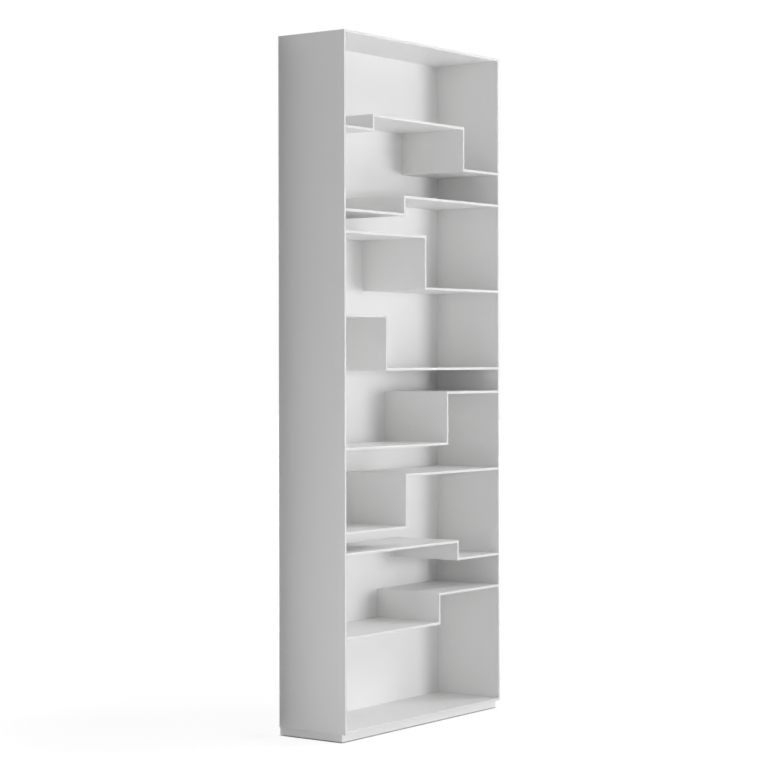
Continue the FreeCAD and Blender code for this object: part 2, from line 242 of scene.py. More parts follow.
def matt_white_lacquer(graph, place, settings):
    """Sprayed matt lacquer on fibreboard: faint clouds, a fine ripple, a few nibs, rougher front edges
    darkened with painted shade.
    """
    clouds = graph.noise(place, settings.cloud_size, detail=3.0)
    ripple = graph.noise(place, settings.ripple_size)
    haze = graph.noise(place, settings.haze_size, detail=4.0)
    cell = graph.cells(place, settings.nib_spacing)
    rare = graph.span(graph.chance(cell), *NIB_CHANCE)
    nib = graph.span(cell, settings.nib_size / settings.nib_spacing, 0.0) * rare
    depth = graph.add("ShaderNodeSeparateXYZ", inputs={0: place}, output="Y")
    edge = graph.span(depth, *(CASE_FRONT + limit for limit in EDGE_DEPTH))
    fibre_size = settings.ripple_size / FIBRES_PER_RIPPLE
    fibres = graph.noise(graph.stretched(place, FIBRE_SCALE), fibre_size) * edge
    tone = clouds + HAZE_TONE * (haze - 0.5)
    spread = settings.cloud_strength
    sprayed = graph.mix(tone, shaded(settings.colour, 1 - spread), shaded(settings.colour, 1 + spread))
    # Painted shade: the front edges take a darker copy of the lacquer's colour, while their rougher fibres
    # are real texture
    colour = graph.mix(edge, sprayed, shaded(settings.colour, settings.painted_edge_shade))
    film = graph.bump(ripple + FIBRE_HEIGHT * fibres, settings.ripple_depth)
    return {
        "Base Color": colour,
        "Roughness": settings.roughness + HAZE_ROUGHNESS * (haze - 0.5) + FIBRE_ROUGHNESS * fibres,
        "IOR": 1.5,
        "Normal": graph.bump(nib, settings.nib_depth, film),
    }


# Weights and limits of the beech's patterns, and scales that draw them out along the grain
RING_SCALE = (0.08, 1.0, 1.0)
RING_WAVES = 2.5
FLECK_SCALE = (0.16, 1.0, 1.0)
FLECK_REACH = (0.2, 0.08)
FLECK_TONE = 0.7
FLECK_SINK = 0.4
PORE_SCALE = (0.05, 1.0, 1.0)
PORES_PER_FLECK = 3
PORE_ROUGHNESS = 0.16
WOOD_ROUGHNESS = 0.52


def planed_beech(graph, place, settings):
    """Beech sawn and planed for the corner blocks: rings along X, short dark flecks, open pores."""
    rings = graph.noise(graph.stretched(place, RING_SCALE), settings.ring_size, detail=4.0)
    waves = (rings * math.tau * RING_WAVES).maths("SINE") * 0.5 + 0.5
    rays = graph.cells(graph.stretched(place, FLECK_SCALE), settings.fleck_size)
    fleck = graph.span(rays, *FLECK_REACH)
    pore_size = settings.fleck_size / PORES_PER_FLECK
    pores = graph.noise(graph.stretched(place, PORE_SCALE), pore_size, detail=3.0)
    wood = graph.mix(waves, opaque(settings.early_colour), opaque(settings.late_colour))
    return {
        "Base Color": graph.mix(fleck * FLECK_TONE, wood, opaque(settings.fleck_colour)),
        "Roughness": WOOD_ROUGHNESS + PORE_ROUGHNESS * pores,
        "Normal": graph.bump(pores - FLECK_SINK * fleck, settings.pore_depth),
    }


# Weights and scales of the zinc's patterns
SPANGLE_SHADES = (0.92, 1.06)
LINE_SCALE = (1.0, 0.15, 1.0)
LINE_ROUGHNESS = 0.12
FILM_TONE = 0.35
FILM_ROUGHNESS = 0.14


def zinc_plated_steel(graph, place, settings):
    """Bright zinc on pressed and turned steel: crystal patches, drawing lines and a dulled film."""
    spangle = graph.chance(graph.cells(place, settings.spangle_size))
    drawn = graph.noise(graph.stretched(place, LINE_SCALE), settings.line_size, detail=3.0)
    film = graph.noise(place, settings.film_size, detail=4.0)
    bright = graph.mix(spangle, *(shaded(settings.steel_colour, shade) for shade in SPANGLE_SHADES))
    return {
        "Base Color": graph.mix(film * FILM_TONE, bright, opaque(settings.film_colour)),
        "Metallic": 1.0,
        "Roughness": (settings.steel_roughness + FILM_ROUGHNESS * (film - 0.5)
                      + LINE_ROUGHNESS * (drawn - 0.5)),
        "Normal": graph.bump(drawn, settings.line_depth),
    }


# Weights and limits of the nylon's patterns
SCUFF_HEIGHT = 0.3 * PAD_HEIGHT
SCUFF_CLOUDS = (0.45, 0.75)
SCUFF_TONE = 0.5
SCUFF_ROUGHNESS = 0.1
TEXTURE_TONE = 0.15
TEXTURE_ROUGHNESS = 0.2
NYLON_ROUGHNESS = 0.48


def black_nylon(graph, place, settings):
    """Moulded nylon with a spark-eroded texture, scuffed pale where it meets the floor."""
    texture = graph.noise(place, settings.texture_size, detail=3.0)
    clouds = graph.noise(place, settings.scuff_size, detail=4.0)
    height = graph.add("ShaderNodeSeparateXYZ", inputs={0: place}, output="Z")
    low = graph.span(height, SCUFF_HEIGHT, 0.0)
    scuff = graph.span(clouds, *SCUFF_CLOUDS) * low
    worn = scuff * SCUFF_TONE + TEXTURE_TONE * texture
    return {
        "Base Color": graph.mix(worn, opaque(settings.pad_colour), opaque(settings.scuff_colour)),
        "Roughness": NYLON_ROUGHNESS + TEXTURE_ROUGHNESS * texture + SCUFF_ROUGHNESS * scuff,
        "Normal": graph.bump(texture, settings.texture_depth),
    }


def paint(names, material):
    """Give packed pieces a finish in place of the plain one."""
    for name in names:
        slots = frame["nodes"][name].data.materials
        slots.clear()
        slots.append(material)


def turned_mesh(name, profile, segments):
    """Closed mesh of revolution round Z, from radius and height pairs that start and end on the axis."""
    shape = bmesh.new()
    rings = []
    for radius, height in profile:
        count = segments if radius else 1
        turns = [math.tau * step / count for step in range(count)]
        rings.append([shape.verts.new((radius * math.cos(turn), radius * math.sin(turn), height))
                      for turn in turns])
    for lower, upper in zip(rings, rings[1:]):
        for step in range(segments):
            corners = [lower[step % len(lower)], lower[(step + 1) % len(lower)],
                       upper[(step + 1) % len(upper)], upper[step % len(upper)]]
            shape.faces.new(dict.fromkeys(corners))
    bmesh.ops.recalc_face_normals(shape, faces=shape.faces)
    mesh = bpy.data.meshes.new(name)
    shape.to_mesh(mesh)
    shape.free()
    return mesh


def quarter_turn(steps):
    """Angles from 0 to a right angle in even steps."""
    return [math.pi / 2 * step / steps for step in range(steps + 1)]


def fine_run(radius, start, end, step):
    """Profile points up or down a cylinder, close enough together to carry a thread."""
    count = max(1, round(abs(end - start) / step))
    return [(radius, start + (end - start) * index / count) for index in range(count + 1)]


def islands(node):
    """Lowest and highest corner of each separate solid in a packed piece."""
    shape = bmesh.new()
    shape.from_mesh(frame["nodes"][node].data)
    bmesh.ops.remove_doubles(shape, verts=shape.verts, dist=MERGE_DISTANCE)
    waiting = set(shape.verts)
    boxes = []
    while waiting:
        group = [waiting.pop()]
        for vertex in group:
            near = {edge.other_vert(vertex) for edge in vertex.link_edges} & waiting
            waiting -= near
            group.extend(near)
        low = Vector([min(vertex.co[axis] for vertex in group) for axis in range(3)])
        high = Vector([max(vertex.co[axis] for vertex in group) for axis in range(3)])
        boxes.append((low, high))
    shape.free()
    return sorted(boxes, key=lambda corners: tuple(corners[0]))


def foot_of(low, high):
    """Point on the floor under the middle of a box."""
    return ((low.x + high.x) / 2, (low.y + high.y) / 2, 0.0)


def new_tree(name, sizes):
    """Geometry tree with a named input for each size, and the wires of those inputs."""
    tree = bpy.data.node_groups.new(name, "GeometryNodeTree")
    graph = Graph(tree)
    tree.interface.new_socket("Geometry", in_out="INPUT", socket_type="NodeSocketGeometry")
    tree.interface.new_socket("Geometry", in_out="OUTPUT", socket_type="NodeSocketGeometry")
    for size, kind in sizes.items():
        tree.interface.new_socket(size, in_out="INPUT", socket_type=f"NodeSocket{kind}")
    first = graph.add("NodeGroupInput")
    return graph, {size: first.output(size) for size in ("Geometry", *sizes)}


def end_tree(graph, geometry, material):
    """Real geometry with its finish, as the tree's result."""
    real = graph.add("GeometryNodeRealizeInstances", inputs={"Geometry": geometry})
    finished = graph.add("GeometryNodeSetMaterial", inputs={"Geometry": real, "Material": material})
    graph.add("NodeGroupOutput", inputs={"Geometry": finished})
    return graph.tree


class AxisPlace:
    """Place of each point beside the Z axis: its coordinates, its angle round Z and its distance from Z."""

    def __init__(self, graph):
        self.x = graph.add("ShaderNodeSeparateXYZ", inputs={0: graph.add("GeometryNodeInputPosition")})
        self.y = self.x.output("Y")
        self.z = self.x.output("Z")
        self.angle = self.y.maths("ARCTAN2", self.x)
        self.radius = (self.x * self.x + self.y * self.y).maths("SQRT")


def rippled(graph, geometry, place, mask, wave, depth):
    """Move the marked points towards the Z axis, by up to depth where the wave is at its lowest."""
    share = (wave - 1) * 0.5 * depth * mask / place.radius
    offset = graph.add("ShaderNodeCombineXYZ", inputs={"X": place.x * share, "Y": place.y * share})
    return graph.add("GeometryNodeSetPosition", inputs={"Geometry": geometry, "Offset": offset})


def threaded(graph, geometry, wires):
    """Right-handed thread between two heights of a turned blank."""
    place = AxisPlace(graph)
    wave = (place.angle - place.z * math.tau / wires["Thread Pitch"]).maths("COSINE")
    mask = (place.z.maths("GREATER_THAN", wires["Thread Bottom"])
            * place.z.maths("LESS_THAN", wires["Thread Top"])
            * place.radius.maths("GREATER_THAN", wires["Thread Radius"] * THREAD_SHARE))
    return rippled(graph, geometry, place, mask, wave, wires["Thread Depth"])


THREAD_SIZES = dict.fromkeys(
    ("Thread Pitch", "Thread Depth", "Thread Radius", "Thread Bottom", "Thread Top"), "Float")


def screw_rows_tree():
    """Screws at the points of a mesh: thread, cross recess, and a chance turn about each screw's axis."""
    graph, wires = new_tree("screw_rows", {
        **THREAD_SIZES, "Blank": "Object", "Recess Length": "Float", "Recess Width": "Float",
        "Recess Floor": "Float", "Direction": "Vector", "Seed": "Int", "Finish": "Material"})
    blank = graph.add("GeometryNodeObjectInfo", inputs={"Object": wires["Blank"]}, output="Geometry")
    screw = threaded(graph, blank, wires)
    arm_height = 4 * MM
    lift = graph.add("ShaderNodeCombineXYZ", inputs={"Z": wires["Recess Floor"] + arm_height / 2})
    arms = []
    for long_axis, short_axis in (("X", "Y"), ("Y", "X")):
        size = graph.add("ShaderNodeCombineXYZ", inputs={
            long_axis: wires["Recess Length"], short_axis: wires["Recess Width"], "Z": arm_height})
        arm = graph.add("GeometryNodeMeshCube", inputs={"Size": size})
        arms.append(graph.add("GeometryNodeTransform", inputs={"Geometry": arm, "Translation": lift}))
    recessed = graph.add("GeometryNodeMeshBoolean", {"operation": "DIFFERENCE", "solver": "EXACT"},
                         {"Mesh 1": screw, "Mesh 2": arms})
    rows = graph.add("GeometryNodeInstanceOnPoints", inputs={
        "Points": wires["Geometry"], "Instance": recessed, "Rotation": wires["Direction"]})
    # The lowest and highest value of the float form go by number, because the other forms share their names
    chance = graph.add("FunctionNodeRandomValue", {"data_type": "FLOAT"},
                       {2: 0.0, 3: math.tau, "Seed": wires["Seed"]}, output=1)
    turn = graph.add("ShaderNodeCombineXYZ", inputs={"Z": chance})
    turned = graph.add("GeometryNodeRotateInstances", inputs={"Instances": rows, "Rotation": turn})
    return end_tree(graph, turned, wires["Finish"])


def levelling_stem_tree():
    """Threaded stem of a foot with the hexagon that a spanner turns."""
    graph, wires = new_tree("levelling_stem", {
        **THREAD_SIZES, "Hexagon Width": "Float", "Hexagon Bottom": "Float", "Hexagon Height": "Float",
        "Place": "Vector", "Finish": "Material"})
    rod = threaded(graph, wires["Geometry"], wires)
    hexagon = graph.add("GeometryNodeMeshCylinder", inputs={
        "Vertices": 6, "Radius": wires["Hexagon Width"] / math.sqrt(3), "Depth": wires["Hexagon Height"]})
    middle = wires["Hexagon Bottom"] + wires["Hexagon Height"] / 2
    lift = graph.add("ShaderNodeCombineXYZ", inputs={"Z": middle})
    hexagon = graph.add("GeometryNodeTransform", inputs={"Geometry": hexagon, "Translation": lift})
    stem = graph.add("GeometryNodeMeshBoolean", {"operation": "UNION", "solver": "EXACT"},
                     {"Mesh 2": [rod, hexagon]})
    placed = graph.add("GeometryNodeTransform", inputs={"Geometry": stem, "Translation": wires["Place"]})
    return end_tree(graph, placed, wires["Finish"])


def ribbed_pad_tree():
    """Floor pad whose rim is moulded into upright ribs."""
    graph, wires = new_tree("ribbed_pad", {
        "Rib Count": "Int", "Rib Depth": "Float", "Rim Radius": "Float", "Place": "Vector",
        "Finish": "Material"})
    place = AxisPlace(graph)
    wave = (place.angle * wires["Rib Count"]).maths("COSINE")
    mask = place.radius.maths("GREATER_THAN", wires["Rim Radius"] - wires["Rib Depth"] / 2)
    pad = rippled(graph, wires["Geometry"], place, mask, wave, wires["Rib Depth"])
    placed = graph.add("GeometryNodeTransform", inputs={"Geometry": pad, "Translation": wires["Place"]})
    return end_tree(graph, placed, wires["Finish"])


def bake(name, mesh, tree, values):
    """Run a tree on a mesh with the named values, and keep the plain result as a new piece."""
    piece = bpy.data.objects.new(name, mesh)
    bpy.context.scene.collection.objects.link(piece)
    modifier = piece.modifiers.new(tree.name, "NODES")
    modifier.node_group = tree
    sockets = {item.name: item.identifier for item in tree.interface.items_tree if item.in_out == "INPUT"}
    for size, value in values.items():
        modifier[sockets[size]] = value
    evaluated = piece.evaluated_get(bpy.context.evaluated_depsgraph_get())
    piece.data = bpy.data.meshes.new_from_object(evaluated)
    piece.modifiers.clear()
    if not piece.data.polygons:
        raise RuntimeError(f"{name}: the tree {tree.name} made no faces")
    piece.data.shade_smooth()
    piece.data.set_sharp_from_angle(angle=SHARP_ANGLE)
    return piece


def screw_sizes(settings, shank, tip, thread_top, face, direction):
    """Values of a screw's tree: a thread from the tip up, and a cross in the head's face at that height."""
    half_step = settings.screw_pitch / SCREW_STEPS_PER_TURN / 2
    return {
        "Thread Pitch": settings.screw_pitch, "Thread Depth": settings.screw_thread,
        "Thread Radius": shank, "Thread Bottom": tip - half_step, "Thread Top": thread_top,
        "Recess Length": settings.recess_length, "Recess Width": settings.recess_width,
        "Recess Floor": face - settings.recess_depth, "Direction": direction,
    }


def screw_group(name, node, blank_profile, head_offset, sizes, settings):
    """Screws in place of a packed group: one at each of its solids, their heads where theirs are."""
    blank = bpy.data.objects.new(f"{name}_blank", turned_mesh(f"{name}_blank", blank_profile, SCREW_SIDES))
    bpy.context.scene.collection.objects.link(blank)
    blank.hide_render = True
    places = bpy.data.meshes.new(f"{name}_places")
    places.from_pydata([head_offset(low, high) for low, high in islands(node)], [], [])
    steel = finish(zinc_plated_steel, settings)
    tree = screw_rows_tree()
    piece = bake(name, places, tree, {**sizes, "Blank": blank, "Finish": steel, "Seed": settings.seed})
    bpy.data.objects.remove(blank)
    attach(piece, "case")
    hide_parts(node)


class LacquerSettings(bpy.types.PropertyGroup):
    """White finish of the boards"""
    colour: FloatVectorProperty(
        name="Colour", description="White of the lacquer", subtype="COLOR", size=3,
        default=(0.8825, 0.881, 0.8745), min=0, max=1)
    # Painted shade: how dark the front edges are painted beside the faces
    painted_edge_shade: FloatProperty(
        name="Painted edge shade", description="Tone of the painted shade on the front edges beside the faces",
        subtype="FACTOR", default=0.86, min=0, max=1)
    roughness: FloatProperty(
        name="Roughness", description="Middle of the lacquer's roughness", subtype="FACTOR",
        default=0.5, min=0, max=1)
    cloud_size: FloatProperty(
        name="Cloud size", description="Reach of the faint unevenness in tone", unit="LENGTH",
        default=240 * MM)
    cloud_strength: FloatProperty(
        name="Cloud strength", description="How far the tone departs from the colour", subtype="FACTOR",
        default=0.008, min=0, max=0.1)
    haze_size: FloatProperty(
        name="Haze size", description="Reach of the sprayed mist", unit="LENGTH", default=14 * MM)
    ripple_size: FloatProperty(
        name="Ripple size", description="Width of one ripple of the sprayed film", unit="LENGTH",
        default=2.4 * MM)
    ripple_depth: FloatProperty(
        name="Ripple depth", description="Height of a ripple", unit="LENGTH", default=0.02 * MM)
    nib_spacing: FloatProperty(
        name="Nib spacing", description="Cells of which a few hold a speck of dust", unit="LENGTH",
        default=28 * MM)
    nib_size: FloatProperty(
        name="Nib size", description="Radius of a speck under the film", unit="LENGTH", default=0.7 * MM)
    nib_depth: FloatProperty(
        name="Nib height", description="Height of a speck under the film", unit="LENGTH",
        default=0.05 * MM)


class TimberSettings(bpy.types.PropertyGroup):
    """Bare wood of the corner blocks"""
    early_colour: FloatVectorProperty(
        name="Early wood", description="Pale wood of a year ring", subtype="COLOR", size=3,
        default=(0.64, 0.46, 0.29), min=0, max=1)
    late_colour: FloatVectorProperty(
        name="Late wood", description="Dark wood of a year ring", subtype="COLOR", size=3,
        default=(0.53, 0.35, 0.2), min=0, max=1)
    fleck_colour: FloatVectorProperty(
        name="Fleck", description="Short rays that beech shows", subtype="COLOR", size=3,
        default=(0.33, 0.18, 0.09), min=0, max=1)
    ring_size: FloatProperty(
        name="Ring size", description="Distance between year rings", unit="LENGTH", default=9 * MM)
    fleck_size: FloatProperty(
        name="Fleck size", description="Spacing of the rays across the grain", unit="LENGTH",
        default=1.6 * MM)
    pore_depth: FloatProperty(
        name="Pore depth", description="Depth of the open pores", unit="LENGTH", default=0.06 * MM)


class HardwareSettings(bpy.types.PropertyGroup):
    """Steel of the screws, brackets, sleeves and stems"""
    steel_colour: FloatVectorProperty(
        name="Zinc", description="Colour of the bright zinc", subtype="COLOR", size=3,
        default=(0.54, 0.55, 0.57), min=0, max=1)
    film_colour: FloatVectorProperty(
        name="Film", description="Colour of the dulled film on the zinc", subtype="COLOR", size=3,
        default=(0.38, 0.39, 0.385), min=0, max=1)
    steel_roughness: FloatProperty(
        name="Roughness", description="Middle of the zinc's roughness", subtype="FACTOR",
        default=0.34, min=0, max=1)
    spangle_size: FloatProperty(
        name="Spangle size", description="Width of one zinc crystal", unit="LENGTH", default=1.1 * MM)
    line_size: FloatProperty(
        name="Line size", description="Spacing of the drawing lines", unit="LENGTH", default=0.35 * MM)
    line_depth: FloatProperty(
        name="Line depth", description="Depth of the drawing lines", unit="LENGTH", default=0.006 * MM)
    film_size: FloatProperty(
        name="Film size", description="Reach of one dulled patch", unit="LENGTH", default=6 * MM)
    recess_length: FloatProperty(
        name="Recess length", description="Arm of the driver's cross from end to end", unit="LENGTH",
        default=3.4 * MM)
    recess_width: FloatProperty(
        name="Recess width", description="Width of an arm of the cross", unit="LENGTH", default=0.9 * MM)
    recess_depth: FloatProperty(
        name="Recess depth", description="Depth of the cross below the head's face", unit="LENGTH",
        default=1.2 * MM)
    screw_pitch: FloatProperty(
        name="Screw pitch", description="Rise of a wood screw's thread in one turn", unit="LENGTH",
        default=1.35 * MM)
    screw_thread: FloatProperty(
        name="Thread depth", description="Depth of a wood screw's thread", unit="LENGTH",
        default=0.55 * MM)
    screw_tip: FloatProperty(
        name="Screw tip", description="Length of a wood screw's point", unit="LENGTH", default=3 * MM)
    back_shank: FloatProperty(
        name="Back screw", description="Diameter of a back screw", unit="LENGTH", default=3 * MM)
    bracket_shank: FloatProperty(
        name="Bracket screw", description="Diameter of a bracket screw", unit="LENGTH",
        default=3.5 * MM)
    bracket_head: FloatProperty(
        name="Bracket screw head", description="Height of a bracket screw's head", unit="LENGTH",
        default=2.2 * MM)
    seed: IntProperty(
        name="Seed", description="Chance turns of the screws", default=7, min=0)


class FootSettings(bpy.types.PropertyGroup):
    """Levelling feet under the plinth"""
    stem_diameter: FloatProperty(
        name="Stem", description="Outer diameter of the stem's thread", unit="LENGTH", default=8 * MM)
    thread_depth: FloatProperty(
        name="Thread depth", description="Depth of the stem's thread", unit="LENGTH", default=0.7 * MM)
    thread_pitch: FloatProperty(
        name="Thread pitch", description="Rise of the stem in one turn", unit="LENGTH",
        default=FOOT_THREAD_PITCH)
    stem_bevel: FloatProperty(
        name="Stem bevel", description="Bevel on the stem's upper end", unit="LENGTH", default=1 * MM)
    spigot_diameter: FloatProperty(
        name="Spigot", description="Diameter of the stem's end in the pad", unit="LENGTH",
        default=5 * MM)
    hexagon_width: FloatProperty(
        name="Hexagon", description="Width across the flats", unit="LENGTH", default=13 * MM)
    hexagon_height: FloatProperty(
        name="Hexagon height", description="Height of the hexagon", unit="LENGTH", default=4 * MM)
    socket_diameter: FloatProperty(
        name="Socket", description="Bore of the pad for the spigot", unit="LENGTH", default=5.1 * MM)
    socket_depth: FloatProperty(
        name="Socket depth", description="Depth of that bore", unit="LENGTH", default=3.3 * MM)
    pad_bevel: FloatProperty(
        name="Pad bevel", description="Bevel on the pad's rims", unit="LENGTH", default=1.2 * MM)
    rib_count: IntProperty(
        name="Ribs", description="Grip ribs round a pad", default=40, min=3)
    rib_depth: FloatProperty(
        name="Rib depth", description="Depth of the grooves between the ribs", unit="LENGTH",
        default=0.5 * MM)
    pad_colour: FloatVectorProperty(
        name="Nylon", description="Colour of the pads", subtype="COLOR", size=3,
        default=(0.035, 0.035, 0.038), min=0, max=1)
    scuff_colour: FloatVectorProperty(
        name="Scuff", description="Colour of the scuffed nylon", subtype="COLOR", size=3,
        default=(0.16, 0.16, 0.155), min=0, max=1)
    texture_size: FloatProperty(
        name="Texture size", description="Grain of the moulded texture", unit="LENGTH",
        default=0.35 * MM)
    texture_depth: FloatProperty(
        name="Texture depth", description="Depth of the moulded texture", unit="LENGTH",
        default=0.03 * MM)
    scuff_size: FloatProperty(
        name="Scuff size", description="Reach of one scuffed patch", unit="LENGTH", default=5 * MM)


class StudioSettings(bpy.types.PropertyGroup):
    """Camera, floor and lamps"""
    camera_place: FloatVectorProperty(
        name="Camera place", description="Where the camera stands", subtype="XYZ", unit="LENGTH",
        default=(-5.8667, -4.2536, 1.1850))
    camera_heading: FloatProperty(
        name="Camera heading", description="Turn of the camera about the vertical", subtype="ANGLE",
        default=math.radians(-53.780))
    camera_roll: FloatProperty(
        name="Camera roll", description="Lean of the camera to its side", subtype="ANGLE", default=0.00181)
    lens: FloatProperty(
        name="Lens", description="Focal length of the camera", unit="CAMERA", default=104.31, min=1)
    lens_shift: FloatProperty(
        name="Lens shift", description="Rise of the lens that keeps the uprights parallel",
        default=-0.0311)
    floor_colour: FloatVectorProperty(
        name="Floor", description="Colour of the floor", subtype="COLOR", size=3,
        default=(0.82, 0.82, 0.82), min=0, max=1)
    floor_size: FloatProperty(
        name="Floor size", description="Side of the floor", unit="LENGTH", default=60.0)
    floor_white: FloatProperty(
        name="Floor white", description="Share of the floor that the camera sees as plain white",
        subtype="FACTOR", default=0.7, min=0, max=1)
    floor_level: FloatProperty(
        name="Floor level", description="Brightness of the bare floor, which the plain white makes up to 1",
        subtype="FACTOR", default=0.56, min=0, max=1)
    contact_width: FloatProperty(
        name="Contact shadow", description="Reach of the full shadow beside the plinth", unit="LENGTH",
        default=8 * MM)
    ambient: FloatProperty(
        name="Ambient", description="Strength of the light from all round", default=0.434, min=0)
    lamp_colour: FloatVectorProperty(
        name="Light colour", description="Faintly cool white of the lamps and the ambient light",
        subtype="COLOR", size=3, default=(0.985, 0.986, 1.0), min=0, max=1)
    key_power: FloatProperty(
        name="Key", description="Soft light from the front right, level with the case", unit="POWER",
        default=240.0, min=0)
    high_power: FloatProperty(
        name="High", description="Soft light from above on the right", unit="POWER", default=280.0, min=0)
    rear_power: FloatProperty(
        name="Rear", description="Soft light on the back, out of the photograph's view", unit="POWER",
        default=200.0, min=0)
    near_wash_power: FloatProperty(
        name="Near wash", description="Light thrown down on the floor at the left, which sends it back up",
        unit="POWER", default=18.5, min=0)
    front_wash_power: FloatProperty(
        name="Front wash", description="Light thrown down on the floor in front, which sends it back up",
        unit="POWER", default=62.0, min=0)
    # Painted shadow: the dark strip stands for the shadow the case throws on a wall behind it
    flag_width: FloatProperty(
        name="Flag", description="Dark strip beside the left rear edge that shades the side panel",
        unit="LENGTH", default=100 * MM, min=0)


class BOOKSHELF_OT_lacquer_case(bpy.types.Operator):
    """Spray the four boards of the case and the back panel"""
    bl_idname = "bookshelf.lacquer_case"
    bl_label = "Lacquer the case"

    def execute(self, context):
        paint(CASE_BOARDS, finish(matt_white_lacquer, context.scene.shelf_lacquer))
        return {"FINISHED"}


class BOOKSHELF_OT_lacquer_shelves(bpy.types.Operator):
    """Spray the treads and risers of the stepped shelves"""
    bl_idname = "bookshelf.lacquer_shelves"
    bl_label = "Lacquer the shelves"

    def execute(self, context):
        paint(SHELF_BOARDS, finish(matt_white_lacquer, context.scene.shelf_lacquer))
        return {"FINISHED"}


class BOOKSHELF_OT_finish_plinth(bpy.types.Operator):
    """Spray the plinth rails and plane the corner blocks behind them"""
    bl_idname = "bookshelf.finish_plinth"
    bl_label = "Finish the plinth"

    def execute(self, context):
        paint(PLINTH_RAILS, finish(matt_white_lacquer, context.scene.shelf_lacquer))
        paint(CORNER_BLOCKS, finish(planed_beech, context.scene.shelf_timber))
        return {"FINISHED"}


class BOOKSHELF_OT_drive_back_screws(bpy.types.Operator):
    """Drive the countersunk screws through the back panel"""
    bl_idname = "bookshelf.drive_back_screws"
    bl_label = "Drive the back screws"

    def execute(self, context):
        settings = context.scene.shelf_hardware
        low, high = islands("back_panel_screws")[0]
        head = (high.x - low.x) / 2
        length = high.y - low.y
        shank = settings.back_shank / 2
        tip = -length + settings.screw_tip
        neck = shank - head
        profile = [(0, 0), (head, 0)]
        profile += fine_run(shank, neck, tip, settings.screw_pitch / SCREW_STEPS_PER_TURN)
        profile.append((0, -length))
        sizes = screw_sizes(settings, shank, tip, thread_top=THREAD_START * neck, face=0.0,
                            direction=(-math.pi / 2, 0.0, 0.0))

        def head_face(lowest, highest):
            """Middle of a screw's face, at the rear of its box."""
            return ((lowest.x + highest.x) / 2, highest.y, (lowest.z + highest.z) / 2)

        screw_group("countersunk_back_screws", "back_panel_screws", profile, head_face, sizes, settings)
        return {"FINISHED"}


class BOOKSHELF_OT_fit_wall_brackets(bpy.types.Operator):
    """Plate the wall brackets and drive their round-headed screws"""
    bl_idname = "bookshelf.fit_wall_brackets"
    bl_label = "Fit the wall brackets"

    def execute(self, context):
        settings = context.scene.shelf_hardware
        paint(WALL_BRACKETS, finish(zinc_plated_steel, settings))
        low, high = islands("wall_bracket_screws")[0]
        head = (high.x - low.x) / 2
        crown = settings.bracket_head
        end = low.z - high.z + crown
        shank = settings.bracket_shank / 2
        tip = end + settings.screw_tip
        dome = [(head * math.cos(turn), crown * (DOME_RIM + (1 - DOME_RIM) * math.sin(turn)))
                for turn in reversed(quarter_turn(DOME_STEPS)[:-1])]
        profile = [(0, crown)] + dome + [(head, 0)]
        profile += fine_run(shank, 0, tip, settings.screw_pitch / SCREW_STEPS_PER_TURN)
        profile.append((0, end))
        sizes = screw_sizes(settings, shank, tip, thread_top=-settings.screw_pitch / 2, face=crown,
                            direction=(0.0, 0.0, 0.0))

        def head_seat(lowest, highest):
            """Middle of the face on which a screw's head sits."""
            return ((lowest.x + highest.x) / 2, (lowest.y + highest.y) / 2, highest.z - crown)

        screw_group("round_bracket_screws", "wall_bracket_screws", profile, head_seat, sizes, settings)
        return {"FINISHED"}


